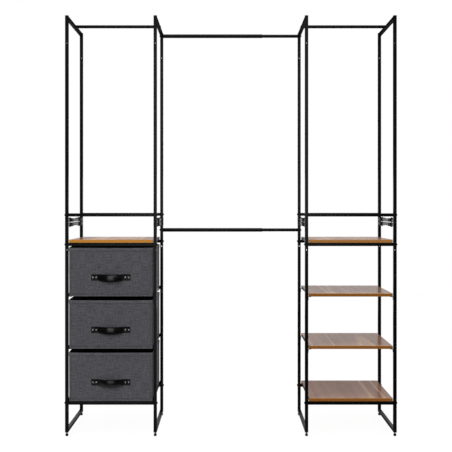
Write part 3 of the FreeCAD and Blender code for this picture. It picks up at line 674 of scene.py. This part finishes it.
def foot_profile(radius, height):
    """Outline of a levelling foot: pad with a groove, taper, then the rings of its thread."""
    size = sizes()
    groove = 0.4 * MM
    points = [(0, 0), (radius - 2 * groove, 0), (radius, 2 * groove), (radius, 0.25 * size.foot_pad)]
    for depth in (groove, 2 * groove):
        points.append((radius - groove, 0.25 * size.foot_pad + depth))
    points += [(radius, 0.25 * size.foot_pad + 3 * groove), (radius, size.foot_pad - groove)]
    points += [(radius - groove, size.foot_pad)]
    stem_start = size.foot_pad + size.foot_cone
    points += [(size.foot_cone_radius, stem_start), (size.foot_stem - size.screw_depth, stem_start)]
    turns = int((height - stem_start) / size.screw_pitch)
    for number in range(turns):
        ring = stem_start + size.screw_pitch * number
        points.append((size.foot_stem, ring + size.screw_pitch * 0.5))
        points.append((size.foot_stem - size.screw_depth, ring + size.screw_pitch))
    return points + [(0, stem_start + size.screw_pitch * turns)]


def socket_bolt(bm, seat, way):
    """Domed bolt head on a seat, pointing a way, with a hexagon socket in its top."""
    size = sizes()
    steps, socket_deep = 24, 1.8 * MM
    side = way.orthogonal().normalized()
    dome = (size.bolt_head ** 2 + size.bolt_dome ** 2) / (2 * size.bolt_dome)
    mouth = size.socket / math.cos(math.pi / 6)
    radii = [size.bolt_head - (size.bolt_head - mouth) * number / 5 for number in range(6)]
    rings = []
    for radius in radii:
        height = math.sqrt(dome * dome - radius * radius) - dome + size.bolt_dome
        rings.append((radius, height, False))
    rings.append((mouth, rings[-1][1] - socket_deep, True))
    rings[-2] = (mouth, rings[-2][1], True)
    loops = []
    for radius, height, hexagonal in rings:
        loop = []
        for step in range(steps):
            angle = 2 * math.pi * step / steps
            reach = radius
            if hexagonal:
                reach = size.socket / math.cos(angle % (math.pi / 3) - math.pi / 6)
            turn = Matrix.Rotation(angle, 3, way)
            loop.append(bm.verts.new(seat + turn @ side * reach + way * height))
        loops.append(loop)
    for lower, upper in zip(loops, loops[1:]):
        for step in range(steps):
            following = (step + 1) % steps
            bm.faces.new((lower[step], lower[following], upper[following], upper[step]))
    bm.faces.new(loops[-1])
    bm.faces.new(loops[0])


def clamp_shank(bm, top, bottom):
    """Shank of a clamp bolt between its saddles, with the nut below."""
    size = sizes()
    reach = (top - bottom).length + size.nut_height
    middle = (top + bottom - Vector((0, 0, size.nut_height))) / 2
    bmesh.ops.create_cone(
        bm, cap_ends=True, segments=16, radius1=size.bolt, radius2=size.bolt, depth=reach,
        matrix=Matrix.Translation(middle))
    under = bottom - Vector((0, 0, size.nut_height / 2))
    bmesh.ops.create_cone(
        bm, cap_ends=True, segments=6, radius1=size.nut, radius2=size.nut, depth=size.nut_height,
        matrix=Matrix.Translation(under))


def centre_of(node):
    """Middle of a CAD node's box."""
    low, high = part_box(node)
    return (low + high) / 2


def bolt_spots(tower):
    """Seat and pointing of each bolt through a tower's posts and crossbars into its rails and rods."""
    spots = []
    for side in SIDES:
        low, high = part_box(f"{tower}_{side}_upper_frame")
        outer, way = (low.x, -1) if side == "left" else (high.x, 1)
        levels, places = ("bottom", "top", "mid"), ("front", "rear")
        held = [f"{tower}_{level}_{place}_rail" for level in levels for place in places]
        for node in held + [f"{tower}_hanging_rod"]:
            centre = centre_of(node)
            spots.append((Vector((outer, centre.y, centre.z)), Vector((way, 0, 0))))
        if (tower, side) in BAY_SIDES:
            inner = high.x if side == "left" else low.x
            for node in ("upper_centre_rod_outer", "lower_centre_rod_outer"):
                centre = centre_of(node)
                spots.append((Vector((inner, centre.y, centre.z)), Vector((-way, 0, 0))))
    return spots


def clamp_spots(tower):
    """Top and bottom of each pair of clamp saddles, on the line of its bolt."""
    low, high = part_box(f"{tower}_frame_clamps")
    half = sizes().clamp / 2
    spots = []
    for side in SIDES:
        x = centre_of(f"{tower}_{side}_upper_frame").x
        for y in (low.y + half, high.y - half):
            spots.append((Vector((x, y, high.z)), Vector((x, y, low.z))))
    return spots


def lay_weld(bm, middle, bead):
    """One weld bead across a tube's inner corner, with the ripples that a torch leaves."""
    size = sizes()
    ripples = 6
    lying = Matrix.Translation(middle) @ Matrix.Rotation(math.radians(90), 4, "Y")
    made = bmesh.ops.create_cone(
        bm, cap_ends=True, segments=10, radius1=size.weld, radius2=size.weld, depth=bead, matrix=lying)
    edges = {edge for vert in made["verts"] for edge in vert.link_edges}
    lengthwise = [e for e in edges if abs(e.verts[0].co.x - e.verts[1].co.x) > bead / 2]
    cut = bmesh.ops.subdivide_edges(bm, edges=lengthwise, cuts=2 * ripples - 1)
    for vert in [part for part in cut["geom_inner"] if isinstance(part, bmesh.types.BMVert)]:
        ring = round((vert.co.x - middle.x) / bead * 2 * ripples)
        if ring % 2:
            vert.co.yz = middle.yz + (vert.co.yz - middle.yz) * 0.85


def lay_welds(bm, node, x_node):
    """Beads where a side frame's crossbars meet its posts."""
    size = sizes()
    low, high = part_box(node)
    x = centre_of(x_node).x
    for y in (low.y + size.tube, high.y - size.tube):
        for z in (low.z + size.tube, high.z - size.tube):
            lay_weld(bm, Vector((x, y, z)), size.tube - 2 * MM)


class WARDROBE_OT_steel(bpy.types.Operator):
    """Finish the steel frames, rails, runners and rods"""

    bl_idname = "wardrobe.steel"
    bl_label = "Powder-coated steel"

    def execute(self, context):
        coat = material_of(satin_black_powder_coat)
        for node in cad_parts:
            if node.endswith(("_frame", "_rail", "_rod", "_runners", "_outer", "_inner")):
                dress_node(node, coat)
        return {"FINISHED"}


class WARDROBE_OT_welds(bpy.types.Operator):
    """Lay the weld beads in the inner corners of the side frames"""

    bl_idname = "wardrobe.welds"
    bl_label = "Weld beads"

    def execute(self, context):
        for tower in TOWERS:
            bm = bmesh.new()
            for side in SIDES:
                for tier in ("lower", "upper"):
                    lay_welds(bm, f"{tower}_{side}_{tier}_frame", f"{tower}_{side}_upper_frame")
            new_piece(
                f"{tower}_weld_beads", bm, [material_of(satin_black_powder_coat)], tower)
        return {"FINISHED"}


class WARDROBE_OT_fittings(bpy.types.Operator):
    """Finish the plastic caps, collars, inserts and clamps"""

    bl_idname = "wardrobe.fittings"
    bl_label = "Plastic fittings"

    def execute(self, context):
        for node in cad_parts:
            if node.endswith(("_inserts", "_plugs", "_clamps")):
                dress_node(node, material_of(moulded_black_plastic))
        return {"FINISHED"}


class WARDROBE_OT_feet(bpy.types.Operator):
    """Turn the levelling feet with their threaded stems"""

    bl_idname = "wardrobe.feet"
    bl_label = "Levelling feet"

    def execute(self, context):
        for node in [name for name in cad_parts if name.endswith("_foot")]:
            low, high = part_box(node)
            bm = bmesh.new()
            middle = Vector(((low.x + high.x) / 2, (low.y + high.y) / 2, low.z))
            profile = foot_profile((high.x - low.x) / 2, high.z - low.z)
            turned(bm, profile, middle, Vector((0, 0, 1)), Vector((1, 0, 0)), 28)
            close_turned(bm)
            new_piece(
                f"{node}_turned", bm, [material_of(moulded_black_plastic)], f"{node}_body",
                [node])
        return {"FINISHED"}


class WARDROBE_OT_bolts(bpy.types.Operator):
    """Set the socket-head bolts of rails, rods and clamps, and the clamps' nuts"""

    bl_idname = "wardrobe.bolts"
    bl_label = "Bolts and nuts"

    def execute(self, context):
        for tower in TOWERS:
            bm = bmesh.new()
            for spot, way in bolt_spots(tower):
                socket_bolt(bm, spot, way)
            for top, bottom in clamp_spots(tower):
                socket_bolt(bm, top, Vector((0, 0, 1)))
                clamp_shank(bm, top, bottom)
            bmesh.ops.recalc_face_normals(bm, faces=bm.faces[:])
            node = f"{tower}_bolts"
            new_piece(
                f"{node}_sockets", bm, [material_of(black_zinc_steel)], tower,
                [node])
        return {"FINISHED"}


class WARDROBE_OT_boards(bpy.types.Operator):
    """Finish the shelves, the top board and the drawers' base boards"""

    bl_idname = "wardrobe.boards"
    bl_label = "Boards"

    def execute(self, context):
        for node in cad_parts:
            # Painted light: the highest shelf and the top board get lighter copies of the edge band, in
            # place of the light that falls on them from above.
            if node.endswith("_shelf_1"):
                band = colours().upper_edge_band
                dress_node(node, material_of(walnut_melamine, "walnut_melamine_upper", band))
            elif "_shelf_" in node:
                dress_node(node, material_of(walnut_melamine, "walnut_melamine", colours().edge_band))
            if node.endswith("_top_board"):
                band = colours().top_edge_band
                dress_node(node, material_of(walnut_melamine, "walnut_melamine_top", band))
            if node.endswith("_base_board"):
                dress_node(node, material_of(pressed_fibreboard))
        return {"FINISHED"}


class WARDROBE_OT_drawers(bpy.types.Operator):
    """Sew the fabric drawers"""

    bl_idname = "wardrobe.drawers"
    bl_label = "Fabric drawers"

    def execute(self, context):
        for place in DRAWERS:
            body, node = f"{place}_drawer", f"{place}_drawer_box"
            low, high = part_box(node)
            finishes = [material_of(heathered_polyester), material_of(nonwoven_lining)]
            shell = new_piece(
                f"{place}_drawer_fabric", drawer_shell(low, high), finishes, body,
                [node])
            add_modifier(
                shell, "SOLIDIFY", thickness=sizes().wall, offset=-1,
                material_offset=1, material_offset_rim=0)
            new_piece(
                f"{place}_drawer_stitches", drawer_stitches(low, high),
                [material_of(sewing_thread)], body)
        return {"FINISHED"}


class WARDROBE_OT_handles(bpy.types.Operator):
    """Cut and sew the strap handles"""

    bl_idname = "wardrobe.handles"
    bl_label = "Strap handles"

    def execute(self, context):
        size = sizes()
        for place in DRAWERS:
            body, node = f"{place}_drawer", f"{place}_drawer_handle"
            low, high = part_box(node)
            piece = new_piece(
                f"{place}_drawer_strap", strap(low, high), [material_of(pebbled_leathercloth)], body,
                [node])
            add_modifier(piece, "SOLIDIFY", thickness=size.strap, offset=1)
            add_modifier(
                piece, "BEVEL", width=size.strap * 0.35, segments=3, limit_method="ANGLE",
                angle_limit=math.radians(50))
            new_piece(
                f"{place}_drawer_strap_stitches", strap_stitches(low, high),
                [material_of(sewing_thread)], body)
        return {"FINISHED"}


class WARDROBE_OT_rivets(bpy.types.Operator):
    """Set the handles' rivets"""

    bl_idname = "wardrobe.rivets"
    bl_label = "Handle rivets"

    def execute(self, context):
        size = sizes()
        for place in DRAWERS:
            node = f"{place}_drawer_rivets"
            low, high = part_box(node)
            radius, middle = (high.z - low.z) / 2, (low.z + high.z) / 2
            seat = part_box(f"{place}_drawer_handle")[1].y - size.puff - size.strap
            first, last = low.x + radius, high.x - radius
            bm = bmesh.new()
            for x in (first, first + size.rivet_spacing, last - size.rivet_spacing, last):
                profile = rivet_profile(radius, size.rivet_head)
                place_on = Vector((x, seat, middle))
                turned(bm, profile, place_on, Vector((0, -1, 0)), Vector((1, 0, 0)), 20)
            close_turned(bm)
            new_piece(
                f"{place}_drawer_rivet_heads", bm, [material_of(nickel_plate)], f"{place}_drawer",
                [node])
        return {"FINISHED"}


class WARDROBE_OT_stage(bpy.types.Operator):
    """Set the floor, the light and the camera"""

    bl_idname = "wardrobe.stage"
    bl_label = "Stage"

    def execute(self, context):
        scene = context.scene
        scene.view_settings.view_transform = "Standard"
        lay_floor()
        light_world(scene)
        hang_lamps()
        place_camera(scene)
        return {"FINISHED"}


def lay_floor():
    """Pale floor that looks white to the camera and still takes the wardrobe's shadow."""
    half_width, half_depth, behind = 6.0, 3.4, 2.8
    bm = bmesh.new()
    spread = Matrix.Translation((0, behind, 0)) @ Matrix.Diagonal((half_width, half_depth, 1, 1))
    bmesh.ops.create_grid(bm, x_segments=1, y_segments=1, size=1, matrix=spread)
    mesh = bpy.data.meshes.new("floor")
    bm.to_mesh(mesh)
    bm.free()
    floor = bpy.data.objects.new("floor", mesh)
    floor.location.z = -0.2 * MM
    bpy.context.scene.collection.objects.link(floor)
    material, tree, _ = new_material("white_floor")
    path = add_node(tree, "ShaderNodeLightPath")
    white, dim = (0.8, 0.8, 0.8, 1), (0.35, 0.35, 0.35, 1)
    camera_share, camera_glow = 0.9, 1.06
    shade = mix_colours(tree, path["Is Glossy Ray"], white, dim)
    paint = add_node(tree, "ShaderNodeBsdfDiffuse", {"Color": shade})["BSDF"]
    glow = add_node(tree, "ShaderNodeEmission", {
        "Color": (1, 1, 1, 1), "Strength": camera_glow})["Emission"]
    factor = compute(tree, "MULTIPLY", path["Is Camera Ray"], camera_share)
    mixed = add_node(tree, "ShaderNodeMixShader", {0: factor, 1: paint, 2: glow})["Shader"]
    add_node(tree, "ShaderNodeOutputMaterial", {"Surface": mixed})
    mesh.materials.append(material)


def light_world(scene):
    """White to the camera, a dim room in reflections, grey fill light for all else."""
    ambient, room = 0.45, 0.02
    world = bpy.data.worlds.new("studio")
    world.use_nodes = True
    world.cycles.sampling_method = "NONE"  # each ray then finds what its own kind of bounce should see
    scene.world = world
    tree = world.node_tree
    tree.nodes.clear()
    path = add_node(tree, "ShaderNodeLightPath")
    seen = compute(tree, "MAXIMUM", path["Is Camera Ray"], path["Is Transmission Ray"])
    shiny = add_node(tree, "ShaderNodeMix", {
        0: path["Is Glossy Ray"], 2: ambient, 3: room}, data_type="FLOAT")[0]
    strength = compute(tree, "MAXIMUM", seen, shiny)
    sky = add_node(tree, "ShaderNodeBackground", {
        "Color": (1, 1, 1, 1), "Strength": strength})["Background"]
    add_node(tree, "ShaderNodeOutputWorld", {"Surface": sky})


def hang_lamps():
    """Three large soft boxes, a small one for the straps, and three cards seen only in reflections."""
    aim = Vector((-0.2, 0, 0.9))
    lamps = (
        ("key_softbox", (-3.2, -3.3, 3.3), 2.4, 2.4, 93, True),
        ("fill_softbox", (3.4, -2.9, 2.6), 2.4, 2.4, 47, True),
        ("top_softbox", (0.2, -0.6, 4.4), 2.6, 2.6, 60, True),
        ("strap_softbox", (-0.95, -3.0, 0.35), 0.9, 0.9, 3.4, True),
        ("front_card", (0, -3.6, 1.8), 2.2, 2.1, 23, False),
        ("low_card", (-0.95, -3.0, -0.45), 0.9, 0.6, 1.3, False),
        ("backdrop_card", (0, 1.6, 0.87), 5, 0.95, 11, False),
    )
    for name, spot, width, height, watts, lights_cloth in lamps:
        lamp = bpy.data.lights.new(name, "AREA")
        lamp.shape = "RECTANGLE"
        lamp.size = width
        lamp.size_y = height
        lamp.energy = watts
        holder = bpy.data.objects.new(name, lamp)
        holder.location = spot
        holder.rotation_euler = (aim - Vector(spot)).to_track_quat("-Z", "Y").to_euler()
        holder.visible_diffuse = lights_cloth
        bpy.context.scene.collection.objects.link(holder)


def place_camera(scene):
    """Look straight at the front, with the picture shifted down as in the photograph."""
    size = sizes()
    horizon_above_middle = 17.2
    camera = bpy.data.cameras.new("photo_camera")
    camera.sensor_width = 36
    camera.lens = size.focal
    camera.shift_y = -horizon_above_middle / PHOTO_PIXELS
    camera.clip_end = 100
    holder = bpy.data.objects.new("photo_camera", camera)
    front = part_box("drawer_tower_left_lower_frame")[0].y
    holder.location = (size.camera_side, front - size.camera_back, size.camera_height)
    holder.rotation_euler = (math.radians(90), 0, 0)
    scene.collection.objects.link(holder)
    scene.camera = holder


OPERATORS = (
    WARDROBE_OT_steel,
    WARDROBE_OT_welds,
    WARDROBE_OT_fittings,
    WARDROBE_OT_feet,
    WARDROBE_OT_bolts,
    WARDROBE_OT_boards,
    WARDROBE_OT_drawers,
    WARDROBE_OT_handles,
    WARDROBE_OT_rivets,
    WARDROBE_OT_stage,
)


class WARDROBE_PT_panel(bpy.types.Panel):
    """Steps of the wardrobe's dressing, with its sizes and colours"""

    bl_idname = "WARDROBE_PT_panel"
    bl_label = "Open frame wardrobe"
    bl_space_type = "VIEW_3D"
    bl_region_type = "UI"
    bl_category = "Wardrobe"

    def draw(self, context):
        for operator in OPERATORS:
            self.layout.operator(operator.bl_idname)
        for group in (context.scene.wardrobe_sizes, context.scene.wardrobe_colours):
            box = self.layout.box()
            for name in group.__annotations__:
                box.prop(group, name)


CLASSES = (WardrobeSizes, WardrobeColours, *OPERATORS, WARDROBE_PT_panel)


def register():
    for cls in CLASSES:
        bpy.utils.register_class(cls)
    bpy.types.Scene.wardrobe_sizes = PointerProperty(type=WardrobeSizes)
    bpy.types.Scene.wardrobe_colours = PointerProperty(type=WardrobeColours)


def unregister():
    del bpy.types.Scene.wardrobe_colours
    del bpy.types.Scene.wardrobe_sizes
    for cls in reversed(CLASSES):
        bpy.utils.unregister_class(cls)


def main():
    register()
    for operator in OPERATORS:
        group, name = operator.bl_idname.split(".")
        getattr(getattr(bpy.ops, group), name)()


if __name__ == "__main__":
    main()
